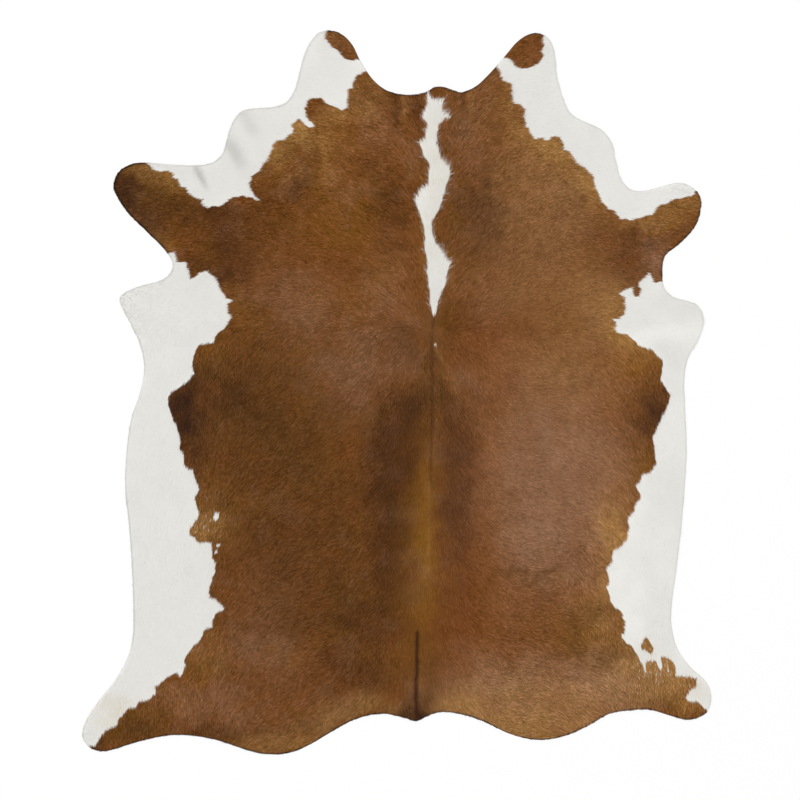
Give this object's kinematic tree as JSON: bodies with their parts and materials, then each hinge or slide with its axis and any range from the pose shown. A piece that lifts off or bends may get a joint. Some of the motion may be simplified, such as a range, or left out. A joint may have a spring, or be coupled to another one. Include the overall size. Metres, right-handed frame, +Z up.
{
  "type": "cowhide rug",
  "caption": "Flat hair-on cowhide floor rug in its natural outline, brown coat with white edges and a white blaze on the neck.",
  "frame": {"origin": "on the floor under the middle of the hide's bounding box", "axes": "+Z up, away from the floor; +Y along the spine towards the neck; +X towards the hide's right side seen from above"},
  "size_m": [1.9171, 2.2051, 0.005],
  "materials": {
    "hair_on_hide": "short combed cow hair, satin, brown with white edges"
  },
  "bodies": {
    "root": {"hide": "hair_on_hide"}
  },
  "joints": []
}
